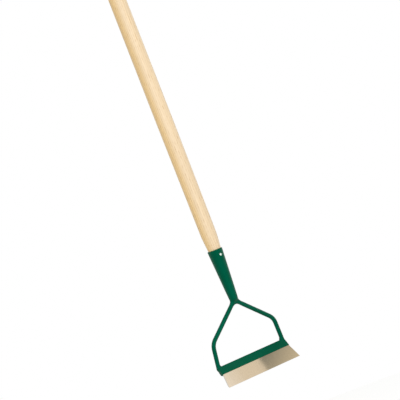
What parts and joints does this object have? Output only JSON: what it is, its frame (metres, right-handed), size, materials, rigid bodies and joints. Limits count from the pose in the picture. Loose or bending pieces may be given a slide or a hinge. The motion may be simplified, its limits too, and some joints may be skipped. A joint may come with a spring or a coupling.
{
  "type": "dutch hoe",
  "caption": "Long-handled push hoe: ash shaft riveted into a tapered green socket, two bent arms, a thick bar and a flared bare steel blade.",
  "frame": {"origin": "on the shaft's axis, at the middle of the rack clip, 300 mm above the socket's mouth", "axes": "+Z along the shaft, away from the head; X along the blade; -Y the side that the blade leans to and that the picture shows"},
  "size_m": [0.152, 0.0317, 1.6796],
  "materials": {
    "ash": "sanded and lightly varnished ash",
    "green_paint": "smooth semi-gloss green paint",
    "ground_steel": "bare ground carbon steel",
    "rivet_steel": "bright plated steel"
  },
  "bodies": {
    "root": {"shaft": "ash", "socket": "green_paint", "socket_rivet": "rivet_steel", "left_arm": "green_paint", "right_arm": "green_paint", "cross_bar": "green_paint", "blade": "ground_steel", "crotch_weld": "green_paint", "left_shoulder_weld": "green_paint", "right_shoulder_weld": "green_paint", "left_foot_weld": "green_paint", "right_foot_weld": "green_paint", "blade_weld": "green_paint"}
  },
  "joints": []
}
